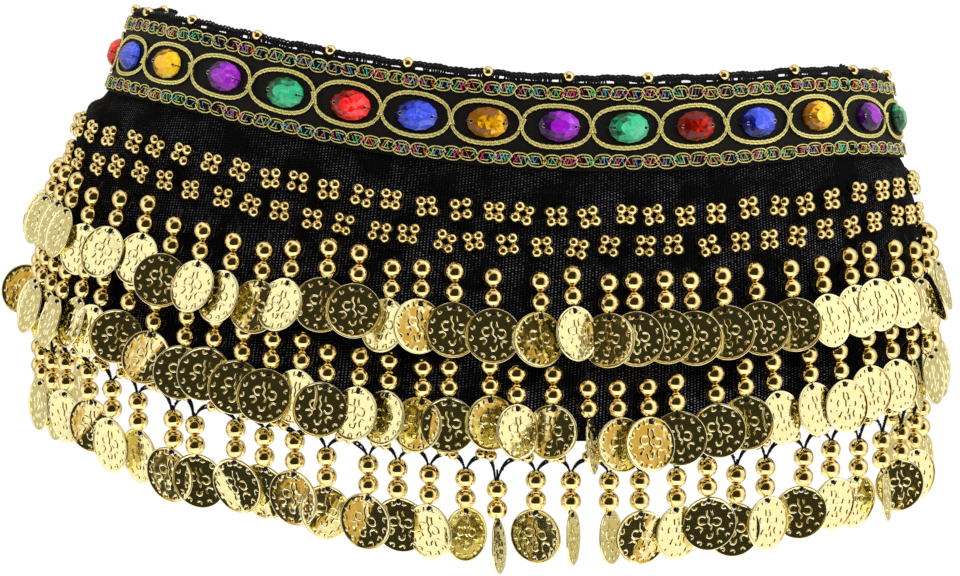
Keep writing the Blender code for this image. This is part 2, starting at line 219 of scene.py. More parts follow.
def frame_at(fraction, level):
    """Point, sideways, outward and downward directions, for arrays or single values."""
    fraction = np.asarray(fraction, dtype=float)
    level = np.asarray(level, dtype=float)
    angle = np.interp(fraction, FRACTIONS, ANGLES)
    point = surface_at_angle(angle, level)
    sideways = unit(surface_at_angle(angle + 0.002, level) - surface_at_angle(angle - 0.002, level))
    down = surface_at_angle(angle, level + 0.5) - surface_at_angle(angle, level - 0.5)
    outward = unit(np.cross(sideways, -down))
    down = -np.cross(outward, sideways)
    return point, sideways, outward, down


def lifted(fraction, level, offset):
    """Points at an offset outwards from the cloth."""
    point, _, outward, _ = frame_at(fraction, level)
    return point + outward * np.asarray(offset, dtype=float)[..., None]


SEED_WEIGHTS = (12.9898, 78.233, 37.719)


def scattered(value):
    """Number between -1 and 1 that looks random but is the same for the same value."""
    value = math.sin(value) * 43758.5453
    return 2.0 * (value - math.floor(value)) - 1.0


def alternating(number):
    return 1.0 if number % 2 else -1.0


def jitter(*seeds):
    """Repeatable irregularity between -1 and 1."""
    return scattered(4.1 + sum(weight * seed for weight, seed in zip(SEED_WEIGHTS, seeds)))


def jitter_cad(row, index):
    """The same irregularity that the CAD source gives its stones."""
    return scattered(SEED_WEIGHTS[0] * (index + 31) + SEED_WEIGHTS[1] * (row + 1))


# Mesh assembly

def length_along(path):
    """Length of a path up to each of its points."""
    return np.concatenate([[0.0], np.cumsum(np.linalg.norm(np.diff(path, axis=0), axis=1))])


def circle(count):
    """Equal turns round a full circle, in radians."""
    return np.arange(count) * 2.0 * math.pi / count


def arc(centre, size, turns):
    return [(centre[0] + size * math.cos(turn), centre[1] + size * math.sin(turn)) for turn in turns]


def ring_points(size, count, centre=(0.0, 0.0)):
    return arc(centre, size, circle(count))


class Builder:
    """Collects points, faces and optional point attributes, then makes one object."""

    def __init__(self):
        self.points = []
        self.faces = []
        self.count = 0
        self.attributes = {}

    def add(self, points, faces, **attributes):
        """Adds points, arrays of faces and, by name, a vector for every point."""
        points = np.asarray(points, dtype=float).reshape(-1, 3)
        self.points.append(points)
        self.faces += [np.asarray(block) + self.count for block in faces]
        for name, vectors in attributes.items():
            self.attributes.setdefault(name, []).append(np.broadcast_to(vectors, points.shape))
        self.count += len(points)

    def finish(self, name, material, smooth=True):
        mesh = bpy.data.meshes.new(name)
        faces = [face for block in self.faces for face in block.tolist()]
        mesh.from_pydata(np.concatenate(self.points) * MM, [], faces)
        mesh.validate()
        for key, blocks in self.attributes.items():
            attribute = mesh.attributes.new(key, "FLOAT_VECTOR", "POINT")
            attribute.data.foreach_set("vector", np.concatenate(blocks).ravel())
        if smooth:
            mesh.shade_smooth()
        mesh.materials.append(material)
        item = bpy.data.objects.new(name, mesh)
        bpy.context.scene.collection.objects.link(item)
        return item


def grid_faces(rows, columns, closed=False):
    """Quads over a grid of rows by columns, closed across the columns if asked."""
    row = np.arange(rows - 1)[:, None] * columns
    column = np.arange(columns if closed else columns - 1)[None, :]
    following = (column + 1) % columns
    quads = np.stack([row + column, row + following,
                      row + columns + following, row + columns + column], axis=-1)
    return quads.reshape(-1, 4)


def sphere_template(segments, rings):
    """Unit sphere as a point array and blocks of faces."""
    points = [(0.0, 0.0, 1.0)]
    for ring in range(1, rings):
        polar = math.pi * ring / rings
        points += [(x, y, math.cos(polar)) for x, y in ring_points(math.sin(polar), segments)]
    points.append((0.0, 0.0, -1.0))
    last = len(points) - 1
    base = last - segments
    corner = np.arange(segments)
    following = (corner + 1) % segments
    quads = grid_faces(rings - 1, segments, closed=True)[:, ::-1] + 1
    top = np.stack([0 * corner, 1 + corner, 1 + following], axis=-1)
    bottom = np.stack([0 * corner + last, base + following, base + corner], axis=-1)
    return np.array(points), [quads, top, bottom]


def add_spheres(builder, centres, radius, template, basis=None):
    """Balls at the centres, stretched along the rows of a basis if one is given."""
    points, faces = template
    placed = points * radius
    if basis is not None:
        placed = placed @ basis
    for centre in centres:
        builder.add(placed + centre, faces)


LOBE_SWELL = 0.28


def add_tube(builder, path, radius, sides=6, reference=None, lobes=0, twist=0.0, closed=False,
             **attributes):
    """Tube along a path; with lobes its section turns like laid yarn."""
    path = np.asarray(path, dtype=float)
    count = len(path)
    if closed:
        tangent = unit(np.roll(path, -1, axis=0) - np.roll(path, 1, axis=0))
    else:
        tangent = unit(np.gradient(path, axis=0))
    if reference is None:
        reference = np.array([0.0, 0.0, 1.0])
        if abs(float(unit(path[-1] - path[0] + 1e-9) @ reference)) > 0.8:
            reference = np.array([0.0, 1.0, 0.3])
    first = unit(np.cross(tangent, reference))
    second = np.cross(tangent, first)
    turns = circle(sides)
    radii = np.broadcast_to(np.asarray(radius, dtype=float), (count,))[:, None]
    if lobes:
        swell = np.cos(lobes * turns[None, :] + twist * length_along(path)[:, None])
        radii = radii * (1.0 + LOBE_SWELL * swell)
    points = (path[:, None, :]
              + (radii * np.cos(turns))[..., None] * first[:, None, :]
              + (radii * np.sin(turns))[..., None] * second[:, None, :])
    if closed:
        faces = [grid_faces(count + 1, sides, closed=True) % (count * sides)]
    else:
        end = np.arange(sides)
        faces = [grid_faces(count, sides, closed=True), [end[::-1]], [(count - 1) * sides + end]]
    builder.add(points, faces, **attributes)


def twisted_pair(builder, path, spread, radius, pitch):
    """Two threads wound round each other along a path."""
    tangent = unit(np.gradient(path, axis=0))
    first = unit(np.cross(tangent, np.array([0.12, 1.0, 0.25])))
    second = np.cross(tangent, first)
    along = length_along(path)
    for phase in (0.0, math.pi):
        turn = 2.0 * math.pi * along / pitch + phase
        offset = spread * (np.cos(turn)[:, None] * first + np.sin(turn)[:, None] * second)
        add_tube(builder, path + offset, radius, sides=4)


def smooth_path(points, count):
    """Resampled Catmull-Rom curve through a few points."""
    points = np.asarray(points, dtype=float)
    padded = np.vstack([2 * points[0] - points[1], points, 2 * points[-1] - points[-2]])
    spans = len(points) - 1
    result = []
    for place in np.linspace(0.0, spans, count):
        span = min(int(place), spans - 1)
        t = place - span
        a, b, c, d = padded[span:span + 4]
        result.append(0.5 * ((2 * b) + (c - a) * t + (2 * a - 5 * b + 4 * c - d) * t * t
                             + (3 * b - a - 3 * c + d) * t ** 3))
    return np.array(result)


# Materials

class Nodes:
    """Short way to lay out the nodes of a material or a world."""

    def __init__(self, owner):
        owner.use_nodes = True
        self.owner = owner
        self.tree = owner.node_tree

    def node(self, kind, settings=None, **values):
        """New node, whose inputs go by name or by number, as in i0."""
        item = self.tree.nodes.new(kind)
        for key, value in (settings or {}).items():
            setattr(item, key, value)
        for key, value in values.items():
            self.feed(item.inputs[int(key[1:]) if key[1:].isdigit() else key], value)
        return item

    def feed(self, socket, value):
        """Links an output to a socket, or sets its number or its opaque colour."""
        if isinstance(value, bpy.types.NodeSocket):
            self.tree.links.new(value, socket)
        else:
            socket.default_value = (*value, 1.0) if isinstance(value, tuple) else value

    def math(self, operation, first, second=0.0):
        item = self.node("ShaderNodeMath", {"operation": operation}, i0=first, i1=second, i2=0.0)
        return item.outputs[0]

    def times(self, first, second):
        return self.math("MULTIPLY", first, second)

    def waves(self, value, pitch):
        return self.math("SINE", self.times(value, 2.0 * math.pi / pitch))

    def attribute(self, name, output="Vector"):
        return self.node("ShaderNodeAttribute", {"attribute_name": name}).outputs[output]

    def split(self, vector):
        return self.node("ShaderNodeSeparateXYZ", i0=vector).outputs

    def object_place(self):
        return self.node("ShaderNodeTexCoord").outputs["Object"]

    def noise(self, vector, scale, detail=2.0, roughness=0.5):
        item = self.node("ShaderNodeTexNoise", Vector=vector, Scale=scale, Detail=detail, Roughness=roughness)
        return item.outputs["Fac"]

    def ramp(self, factor, stops):
        item = self.node("ShaderNodeValToRGB", i0=factor)
        elements = item.color_ramp.elements
        while len(elements) < len(stops):
            elements.new(0.5)
        for element, (place, colour) in zip(elements, stops):
            element.position = place
            element.color = (*colour, 1.0)
        return item.outputs["Color"]

    def spread(self, value, low, high, new_low=0.0, new_high=1.0, kind="LINEAR"):
        """Value carried from one span to another and held inside it."""
        item = self.node("ShaderNodeMapRange", {"interpolation_type": kind}, i0=value, i1=low, i2=high,
                         i3=new_low, i4=new_high)
        return item.outputs[0]

    def mix(self, factor, first, second):
        item = self.node("ShaderNodeMix", {"data_type": "RGBA"}, i0=factor, i6=first, i7=second)
        return item.outputs[2]

    def bump(self, height, strength, distance):
        item = self.node("ShaderNodeBump", Strength=strength, Distance=distance, Height=height)
        return item.outputs["Normal"]

    def shade(self, **values):
        """Sets the inputs of the material's shader and returns the material."""
        shader = self.tree.nodes["Principled BSDF"]
        for key, value in values.items():
            self.feed(shader.inputs[key.replace("_", " ")], value)
        return self.owner


def new_material(name):
    return Nodes(bpy.data.materials.new(name))


def scaled(colour, share, lift=0.0):
    return tuple(min(1.0, value * share + lift) for value in colour)


def gold_material(name, colour, roughness, wrinkle, scale, sheen=0.0):
    nodes = new_material(name)
    place = nodes.object_place()
    fine = nodes.noise(place, scale, 3.0, 0.6)
    tone = nodes.mix(nodes.spread(nodes.noise(place, 90.0), 0.35, 0.65), colour, scaled(colour, 0.86))
    rough = nodes.spread(fine, 0.35, 0.7, roughness * 0.8, roughness * 1.35)
    return nodes.shade(Base_Color=tone, Roughness=rough, Metallic=1.0,
                       Sheen_Weight=sheen, Sheen_Roughness=0.16, Sheen_Tint=(1.0, 0.80, 0.32),
                       Normal=nodes.bump(fine, wrinkle, 0.0004))


def coin_material():
    """Stamped gilt metal: smooth worn fields with a few dents; the raised lines and rims are painted paler as
    a painted highlight and the low field darker as painted shade.
    """
    nodes = new_material("stamped_gilt_coin")
    place = nodes.attribute("coin_place")
    height = nodes.split(place)[2]
    dents = nodes.noise(place, 0.16)
    grain = nodes.noise(place, 3.2, 2.0, 0.6)
    # Colour by height: painted highlight on the raised lines and rims, painted shade in the low field.
    colour = nodes.mix(nodes.spread(height, 0.02, 0.30), (0.96, 0.87, 0.45), (1.0, 0.95, 0.66))
    rough = nodes.spread(grain, 0.3, 0.7, 0.09, 0.17)
    return nodes.shade(Base_Color=colour, Roughness=rough, Metallic=1.0,
                       Normal=nodes.bump(dents, 0.20, 0.0012))


# Spacing of the knit's columns and courses, and the step between columns, in millimetres and radians
KNIT_COLUMN = 1.45
KNIT_COURSE = 1.15
KNIT_STEP = 1.9


def cloth_material():
    """Black knit with fine upright columns of pale specks, uneven over the cloth."""
    nodes = new_material("black_speckled_knit")
    place = nodes.attribute("cloth_place")
    along, level, _ = nodes.split(place)
    column = nodes.math("FLOOR", nodes.math("DIVIDE", along, KNIT_COLUMN))
    course = nodes.times(level, 2.0 * math.pi / KNIT_COURSE)
    dots = nodes.math("SINE", nodes.math("ADD", course, nodes.times(column, KNIT_STEP)))
    weave = nodes.times(nodes.spread(nodes.waves(along, KNIT_COLUMN), 0.25, 0.95),
                        nodes.spread(dots, 0.0, 0.9))
    lower = nodes.spread(level, 10.0, 95.0, 0.30, 1.0)
    patches = nodes.spread(nodes.noise(place, 0.045, 3.0, 0.6), 0.43, 0.62, 0.05, 1.0)
    glints = nodes.spread(nodes.noise(place, 0.9, 1.0), 0.38, 0.58, 0.06, 1.0)
    light = nodes.times(nodes.times(weave, lower), nodes.times(patches, glints))
    tint = nodes.mix(nodes.spread(nodes.noise(place, 0.8), 0.4, 0.6),
                     (0.30, 0.30, 0.48), (0.60, 0.62, 0.68))
    colour = nodes.mix(light, (0.0020, 0.0020, 0.0022), tint)
    return nodes.shade(Base_Color=colour, Roughness=0.85, Specular_IOR_Level=0.04,
                       Normal=nodes.bump(weave, 0.35, 0.0003))


def satin_material():
    """Black ribbon with fine ribs across a finer warp, softly puckered."""
    nodes = new_material("black_satin_ribbon")
    place = nodes.attribute("cloth_place")
    along, level, _ = nodes.split(place)
    ribs = nodes.times(nodes.waves(level, 0.7), 0.3)
    warp = nodes.times(nodes.waves(along, 0.45), 0.2)
    puckers = nodes.times(nodes.noise(place, 0.22, 3.0), 3.0)
    height = nodes.math("ADD", ribs, nodes.math("ADD", warp, puckers))
    colour = nodes.mix(nodes.noise(place, 0.9), (0.003, 0.003, 0.003), (0.012, 0.011, 0.010))
    return nodes.shade(Base_Color=colour, Roughness=0.55, Specular_IOR_Level=0.12,
                       Normal=nodes.bump(height, 0.25, 0.0004))


def yarn_material(name, colour, gloss):
    nodes = new_material(name)
    fibre = nodes.noise(nodes.object_place(), 2600.0, 2.0, 0.7)
    tone = nodes.mix(fibre, scaled(colour, 0.5), scaled(colour, 1.6))
    return nodes.shade(Base_Color=tone, Roughness=gloss, Specular_IOR_Level=0.3, Sheen_Weight=0.05,
                       Normal=nodes.bump(fibre, 0.6, 0.0003))


def thread_material():
    """Metallic thread whose colour is set thread by thread."""
    nodes = new_material("metallic_embroidery_thread")
    glitter = nodes.noise(nodes.object_place(), 1900.0, 2.0, 0.7)
    tint = nodes.node("ShaderNodeVectorMath", {"operation": "SCALE"}, i0=nodes.attribute("thread_tint"),
                      Scale=nodes.spread(glitter, 0.35, 0.65, 0.70, 1.25))
    return nodes.shade(Base_Color=tint.outputs[0], Metallic=0.72, Roughness=0.27,
                       Normal=nodes.bump(glitter, 0.7, 0.0004))


def stone_material(colour_name):
    """Foil-backed acrylic: each facet has its own painted light and shade, from a dark shaded tint to a pale
    highlight, under a clear coat.
    """
    nodes = new_material("sew_on_stone_" + colour_name)
    colour = STONE_TINTS[colour_name]
    clouds = nodes.spread(nodes.noise(nodes.object_place(), 420.0), 0.3, 0.7, -0.15, 0.15)
    tone = nodes.math("ADD", nodes.attribute("painted_facet_light", "Fac"), clouds)
    # Darkest colour of the ramp: painted shade on the facets.
    painted_shade_colour = tuple(0.20 * value ** 1.5 for value in colour)
    tinted = nodes.ramp(tone, ((0.12, painted_shade_colour), (0.50, colour), (0.82, scaled(colour, 1.25, 0.01)),
                               (1.0, scaled(colour, 1.2, 0.10))))
    return nodes.shade(Base_Color=tinted, Roughness=0.22, Specular_IOR_Level=0.25,
                       Coat_Weight=0.35, Coat_Roughness=0.03)


# Strands and coins

def strand_fraction(row, index):
    place = ROW_SPACING[row] * index + ROW_CROWDING[row] * index * index
    return (place + ROW_PHASES[row]) / STRANDS_ROUND


def strand_place(row, index):
    """Girth fraction and extra drop of a strand, which is never sewn quite in line."""
    plain_shift = (SHIFT_SPREAD * jitter(row, index, 1), DROP_SPREAD * jitter(row, index, 2))
    shift, drop = UNEVEN_STRANDS[row].get(index, plain_shift)
    if row == 1 and index < LEFT_SPREAD_START:
        share = (LEFT_SPREAD_START - index) / LEFT_SPREAD_STRANDS
        shift -= LEFT_SPREAD * math.sin(math.pi * share ** 0.55)
    return strand_fraction(row, index) + shift / GIRTH, drop


def strands(row):
    first, last = ROW_RANGES[row]
    return range(first, last + 1)


def strand_point(row, fraction, level, root_level, offset):
    """Frame of a point on a strand, which drops straight down over the cloth."""
    if row < 2:
        angle = float(np.interp(fraction, FRACTIONS, ANGLES))
        drift = WORN_TILT * (level - root_level) * math.cos(angle) / GIRTH
        point, sideways, outward, down = frame_at(fraction + drift, level)
        return point + outward * offset, sideways, outward, down
    point, sideways, outward, _ = frame_at(fraction, root_level)
    down = np.array([0.0, 0.0, -1.0])
    outward = unit(outward - down * float(outward @ down))
    return point + outward * offset + down * (level - root_level), sideways, outward, down


# Sideways angle at which a coin in each state mirrors the room, in degrees, and its spread
MIRROR_ANGLES = {"D": (0.0, 10.0), "O": (36.0, 2.0), "H": (36.0, 3.0), "A": (52.0, 2.0),
                 "P": (80.0, 11.0), "N": (126.0, 8.0), "E": (154.0, 5.0)}
EDGE_ON_STATES = "NE"
TURN_LIMIT = 60.0
FRONT_AZIMUTH = 14.0
COIN_PITCHES = (10.0, 6.0, 3.0)
PITCH_SPREAD = 3.0
ROLL_SPREAD = 6.0

# From the strand's end to the coin's middle, how far the inner and the outer coins stand out and the
# most that they do, and how far in a turned coin's edge may reach, in millimetres
COIN_HANG = COIN_RADIUS - 0.6
COIN_LAYERS = (1.0, 2.8)
HEM_COIN_LAYERS = (-1.4, 1.6)
COIN_PUSH_LIMIT = 3.8
COIN_SINK = 4.4


def coin_state(row, index):
    first, states = COIN_STATES[row]
    place = index - first
    return states[place] if 0 <= place < len(states) else "N"


def coin_turn(row, index, start, azimuth):
    """Turn in radians that makes a coin mirror the part of the room that its state names."""
    sign = 1.0 if azimuth >= 0.0 else -1.0
    if abs(azimuth) < FRONT_AZIMUTH:
        sign = 1.0 if jitter(row, index, 3) > 0.0 else -1.0
    to_camera = math.degrees(math.atan2(CAMERA_SIDE / MM - start[0], CAMERA_DISTANCE / MM + start[1]))
    state = coin_state(row, index)
    middle, spread = MIRROR_ANGLES[state]
    mirrored = sign * (middle + spread * jitter(row, index, 5))
    turn = 0.5 * (mirrored + to_camera) - azimuth
    if state not in EDGE_ON_STATES:
        turn = max(-TURN_LIMIT, min(TURN_LIMIT, turn))
    return math.radians(turn)


def turned(first, second, angle):
    """Two perpendicular directions turned in their plane."""
    cosine = math.cos(angle)
    sine = math.sin(angle)
    return first * cosine + second * sine, second * cosine - first * sine


def swung_pose(start, outward, down, swing, turn):
    """Pose of a coin that stands out from the cloth."""
    axis, across = turned(down, outward, swing)
    facing = unit(np.cross(axis, across))
    if facing[1] > 0.0:
        facing = -facing
        across = -across
    across, facing = turned(across, facing, turn)
    return start + axis * COIN_HANG, across, -axis, facing


def coin_pose(row, index, start, sideways, outward, down):
    """Centre, across, up and facing directions of a coin hung at start."""
    if (row, index) in SWUNG_COINS:
        return swung_pose(start, outward, down, *np.radians(SWUNG_COINS[row, index]))
    turn = coin_turn(row, index, start, math.degrees(math.atan2(outward[0], -outward[1])))
    facing, across = turned(outward, sideways, turn)
    pitch = math.radians(COIN_PITCHES[row] + PITCH_SPREAD * jitter(row, index, 13))
    axis = down * math.cos(pitch) + facing * math.sin(pitch)
    facing = unit(np.cross(-across, axis))
    if float(facing @ outward) < 0.0 and coin_state(row, index) not in EDGE_ON_STATES:
        facing = -facing
    across, axis = turned(across, axis, math.radians(ROLL_SPREAD * jitter(row, index, 17)))
    outer_layer = (index + row) % 2 == 0
    clearance = abs(math.sin(turn)) * COIN_RADIUS - COIN_SINK
    push = min(COIN_PUSH_LIMIT, max(COIN_LAYERS[outer_layer], clearance))
    if row == 2:
        push = HEM_COIN_LAYERS[outer_layer]
    return start + axis * COIN_HANG + outward * push, across, -axis, facing


# Raised line of the stamping: shift to the side and height, in millimetres
STROKE_PROFILE = ((-0.52, 0.0), (-0.37, 0.0), (-0.12, 0.38), (0.12, 0.38), (0.37, 0.0), (0.52, 0.0))
STROKE_STEP = 0.56

# Raised rims of the coin and its hole, with the inset and height of each ring inside the coin's edge
RIM_HEIGHT = 0.10
RIM_RINGS = ((0.30, 0.34), (0.60, 0.30), (1.00, 0.0))
HOLE_RIM_WIDTH = 0.35
RIM_POINTS = 66
RIM_MARKS = 13
HOLE_POINTS = 12
COIN_HOLE_PLACE = COIN_RADIUS - 2.3
COIN_HOLE_RADIUS = 0.95

# Slope of a creased coin's bent half, and height of a row in a triangular lattice of unit spacing
HALF_TURNED_CREASE = 0.24
LATTICE_ROW = 0.866

# Spacing of the points that fill each side of a coin, and their distance from the rim and the lines
FRONT_FILLING = (1.15, 1.5)
BACK_FILLING = (3.4, 2.0)
LINE_CLEARANCE = 0.95
HOLE_CLEARANCE = 0.8

# Threads of a strand, in millimetres
STRAND_THREAD_RADIUS = 0.5
COIN_LOOP_RADIUS = 0.42
COIN_KNOT_RADIUS = 0.95


def filling_points(spacing, margin, avoided, clearance):
    """Points in a triangular lattice inside the rim, away from the hole and the raised lines."""
    rows = int(COIN_RADIUS / (spacing * LATTICE_ROW)) + 1
    points = []
    for row in range(-rows, rows + 1):
        for column in range(-rows - 1, rows + 2):
            x = (column + 0.5 * (row % 2)) * spacing
            y = row * spacing * LATTICE_ROW
            near_rim = math.hypot(x, y) > COIN_RADIUS - margin
            near_hole = math.hypot(x, y - COIN_HOLE_PLACE) < COIN_HOLE_RADIUS + HOLE_CLEARANCE
            near_line = len(avoided) and np.min(np.hypot(avoided[:, 0] - x, avoided[:, 1] - y)) < clearance
            if not (near_rim or near_hole or near_line):
                points.append((x, y))
    return points


def coin_plan(points, heights):
    """Triangles between points whose first two rings are the rim and the edge of the hole."""
    edges = []
    for first, size in ((0, RIM_POINTS), (RIM_POINTS, HOLE_POINTS)):
        edges += [(first + step, first + (step + 1) % size) for step in range(size)]
    result = delaunay_2d_cdt([Vector(p) for p in points], edges, [], 0, 1e-4)
    vertices = np.array([tuple(v) for v in result[0]])
    origin = [source[0] if source else -1 for source in result[3]]
    height = np.array([heights[k] if k >= 0 else 0.0 for k in origin])
    triangles = []
    for face in result[2]:
        x, y = vertices[list(face)].mean(axis=0)
        if math.hypot(x, y) < COIN_RADIUS and math.hypot(x, y - COIN_HOLE_PLACE) > COIN_HOLE_RADIUS * 0.97:
            triangles.append(face)
    return vertices, height, np.array(triangles)


def stroke_points():
    """Points and heights of the raised lines, and the middles of those lines."""
    points = []
    heights = []
    middles = []
    for stroke in coin_strokes():
        stroke = np.array(stroke)
        lengths = length_along(stroke)
        places = np.linspace(0.0, lengths[-1], max(3, int(lengths[-1] / STROKE_STEP) + 1))
        line = np.stack([np.interp(places, lengths, stroke[:, k]) for k in (0, 1)], axis=-1)
        tangent = unit(np.gradient(line, axis=0))
        normal = np.stack([-tangent[:, 1], tangent[:, 0]], axis=-1)
        middles.append(line)
        for shift, height in STROKE_PROFILE:
            points += [tuple(place) for place in line + normal * shift]
            heights += [height] * len(line)
    return points, heights, np.concatenate(middles)


def coin_template():
    """Front and back of a stamped disc with a hole, rim, marks and scrolls."""
    hole = (0.0, COIN_HOLE_PLACE)
    outline = ring_points(COIN_RADIUS, RIM_POINTS) + ring_points(COIN_HOLE_RADIUS, HOLE_POINTS, hole)
    points = list(outline)
    heights = [RIM_HEIGHT] * RIM_POINTS + [0.0] * HOLE_POINTS
    for inset, height in RIM_RINGS:
        points += ring_points(COIN_RADIUS - inset, RIM_POINTS)
        heights += [height] * RIM_POINTS
    points += ring_points(COIN_HOLE_RADIUS + HOLE_RIM_WIDTH, HOLE_POINTS, hole)
    heights += [RIM_HEIGHT] * HOLE_POINTS
    line_points, line_heights, middles = stroke_points()
    filling = filling_points(*FRONT_FILLING, middles, LINE_CLEARANCE)
    front = coin_plan(points + line_points + filling, heights + line_heights + [0.0] * len(filling))
    filling = filling_points(*BACK_FILLING, (), 0.0)
    back = coin_plan(outline + filling, [0.0] * (len(outline) + len(filling)))
    return front, back


def coin_strokes():
    """Generic ornament: a ring of small crescents round a leaf spray and scrolls."""
    strokes = []
    for mark in range(RIM_MARKS):
        turn = 2.0 * math.pi * (mark + 0.5) / RIM_MARKS + math.pi / 2.0
        centre = (COIN_HOLE_PLACE * math.cos(turn), COIN_HOLE_PLACE * math.sin(turn))
        opening = math.degrees(turn) + 50.0
        strokes.append(arc(centre, 0.85, np.radians(np.linspace(opening, opening + 190.0, 6))))
    strokes.append(arc((-3.1, 1.6), 1.8, np.radians(np.linspace(60.0, 300.0, 10))))
    strokes.append(arc((3.4, 0.8), 1.8, np.radians(np.linspace(-150.0, 110.0, 10))))
    strokes.append([(-1.0, 5.6), (-1.1, 3.9), (0.0, 2.3), (-0.5, 0.4), (1.1, -1.2), (0.6, -2.6)])
    strokes.append([(1.2, 5.4), (1.5, 3.9)])
    strokes.append([(-5.6, -1.4), (-4.2, -1.0), (-2.9, -2.2), (-4.0, -3.6)])
    strokes.append([(5.6, -2.6), (4.2, -2.2), (3.2, -3.6), (3.6, -4.9)])
    strokes.append(arc((0.0, -5.2), 1.3, np.radians(np.linspace(170.0, 380.0, 8))))
    return strokes


def add_coin(builder, template, pose, seed, fold):
    """One coin, warped a little, and creased across when it mirrors the room in two halves."""
    centre, across, up, facing = pose
    sides = []
    for (vertices, height, triangles), depth in zip(template, (0.5 * COIN_THICKNESS, -0.5 * COIN_THICKNESS)):
        x = vertices[:, 0]
        y = vertices[:, 1]
        warp = 0.0022 * jitter(seed, 21) * x * x + 0.0030 * jitter(seed, 22) * y * y
        warp = warp + 0.0026 * jitter(seed, 23) * x * y
        warp = warp + 0.05 * np.sin(x * 0.35 + 9.0 * jitter(seed, 24)) * np.cos(y * 0.30 + seed)
        crease = math.copysign(0.8, fold) * x + 0.6 * jitter(seed, 26) * y - 2.0 * jitter(seed, 27)
        depth = depth + height + warp - abs(fold) * np.maximum(crease, 0.0)
        points = centre + x[:, None] * across + y[:, None] * up + depth[:, None] * facing
        local = np.stack([x + 31.0 * jitter(seed, 2), y + 17.0 * jitter(seed, 3), height], axis=-1)
        sides.append((points, local, triangles))
    (front, front_local, front_faces), (back, back_local, back_faces) = sides
    count = len(front)
    walls = []
    for first, size, step in ((0, RIM_POINTS, 1), (RIM_POINTS, HOLE_POINTS, -1)):
        a = first + np.arange(size)
        b = first + (np.arange(size) + 1) % size
        walls.append(np.stack([a, a + count, b + count, b], axis=-1)[:, ::step])
    builder.add(np.concatenate([front, back]),
                [front_faces, back_faces[:, ::-1] + count, *walls],
                coin_place=np.concatenate([front_local, back_local]))


def add_coin_loop(threads, bead_foot, pose, knot):
    """Thread through a coin's hole and up into the last bead, with its knot."""
    centre, across, up, facing = pose
    hole = centre + up * COIN_HOLE_PLACE
    for side in (-1.0, 1.0):
        bow = (bead_foot + hole) / 2 + facing * side * 0.9 + across * side * 0.3
        loop = smooth_path([bead_foot, bow, hole + facing * side * 0.25], 5)
        add_tube(threads, loop, COIN_LOOP_RADIUS, sides=5)
    add_spheres(threads, [hole + facing * 0.45 + up * 0.5], COIN_KNOT_RADIUS, knot)


def build_coin_row(row, name, gold, coin_gold, thread, template):
    """Strands of two beads and a coin, with the threads that hold them."""
    coins = Builder()
    beads = Builder()
    threads = Builder()
    ball = sphere_template(20, 12)
    knot = sphere_template(8, 5)
    bead_level = FIRST_BEAD_LEVELS[row]
    root = bead_level - ROOT_RISE
    for index in strands(row):
        fraction, drop = strand_place(row, index)
        base = HEM_STRAND_OFFSET
        if row < 2:
            base = STRAND_OFFSET + max(0.0, float(ripple(fraction * GIRTH, bead_level)))
        upper, _, _, _ = strand_point(row, fraction, bead_level + drop, root, base)
        lower, _, _, _ = strand_point(row, fraction, bead_level + drop + BEAD_SPACING, root, base)
        add_spheres(beads, [upper, lower], BEAD_RADIUS, ball)
        level = bead_level + drop + BEAD_SPACING + BEAD_RADIUS + 0.2
        start, sideways, outward, down = strand_point(row, fraction, level, root, base)
        pose = coin_pose(row, index, start, sideways, outward, down)
        half_turned = coin_state(row, index) == "H"
        fold = math.copysign(HALF_TURNED_CREASE, float(pose[3][0])) if half_turned else 0.0
        add_coin(coins, template, pose, row * 97 + index, fold)
        add_coin_loop(threads, lower + down * (BEAD_RADIUS * 0.8), pose, knot)
        root_point, _, _, _ = strand_point(row, fraction, root, root, base * 0.4)
        add_tube(threads, [root_point, upper, lower], STRAND_THREAD_RADIUS, sides=5)
    dress(coins.finish(name + "_coins", coin_gold), name)
    dress(beads.finish(name + "_beads", gold))
    dress(threads.finish(name + "_threads", thread))


def dress(item, node=None):
    """Ties a finished piece to the body and the solid that it stands for."""
    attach(item, "root")
    if node:
        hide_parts(node)
    return item


# Cloth and ribbon: outer and inner face off the worn surface, in millimetres, and points each way

CLOTH_FACES = (-0.2, -1.1)
CLOTH_GRID = (260, 66)
RIBBON_FACES = (1.2, 0.5)
RIBBON_GRID = (240, 14)


def ripple(along, level):
    """Soft uneven creases of the worn cloth, in millimetres outwards."""
    wide = 0.8 * np.sin(along * 0.043 + 0.6) * np.sin((level + 20.0) * 0.021)
    narrow = 0.35 * np.sin(along * 0.12 + level * 0.035 + 1.7) * np.sin((level + 19.0) * 0.02)
    side = np.abs(np.sin(np.interp(along / GIRTH, FRACTIONS, ANGLES)))
    puff = 2.4 * np.clip((side - 0.80) / 0.20, 0.0, 1.0) * np.clip((level - 18.0) / 10.0, 0.0, 1.0)
    puff = puff * (0.75 + 0.25 * np.sin(level * 0.42 + along * 0.05))
    return wide + narrow + puff * np.clip((76.0 - level) / 14.0, 0.0, 1.0)


def sheet(top, foot, grid, faces, relief):
    """Thin closed cloth between two levels, right round the front and sides."""
    columns, lines = grid
    outer, inner = faces
    fraction, level = np.meshgrid(np.linspace(-PANEL_END, PANEL_END, columns),
                                  np.linspace(top, foot, lines), indexing="ij")
    along = fraction * GIRTH
    shift = relief(along, level)
    front = lifted(fraction, level, outer + shift)
    back = lifted(fraction, level, inner + shift)
    quads = grid_faces(columns, lines)
    size = columns * lines
    border = np.concatenate([np.arange(0, size, lines), np.arange(size - lines + 1, size),
                             np.arange(size - 1 - lines, 0, -lines), np.arange(lines - 2, 0, -1)])
    following = np.roll(border, -1)
    edge = np.stack([border, following, following + size, border + size], axis=-1)
    place = np.stack([along, level, 0.0 * level], axis=-1).reshape(-1, 3)
    builder = Builder()
    builder.add(np.concatenate([front.reshape(-1, 3), back.reshape(-1, 3)]),
                [quads[:, ::-1], quads + size, edge], cloth_place=np.concatenate([place, place]))
    return builder


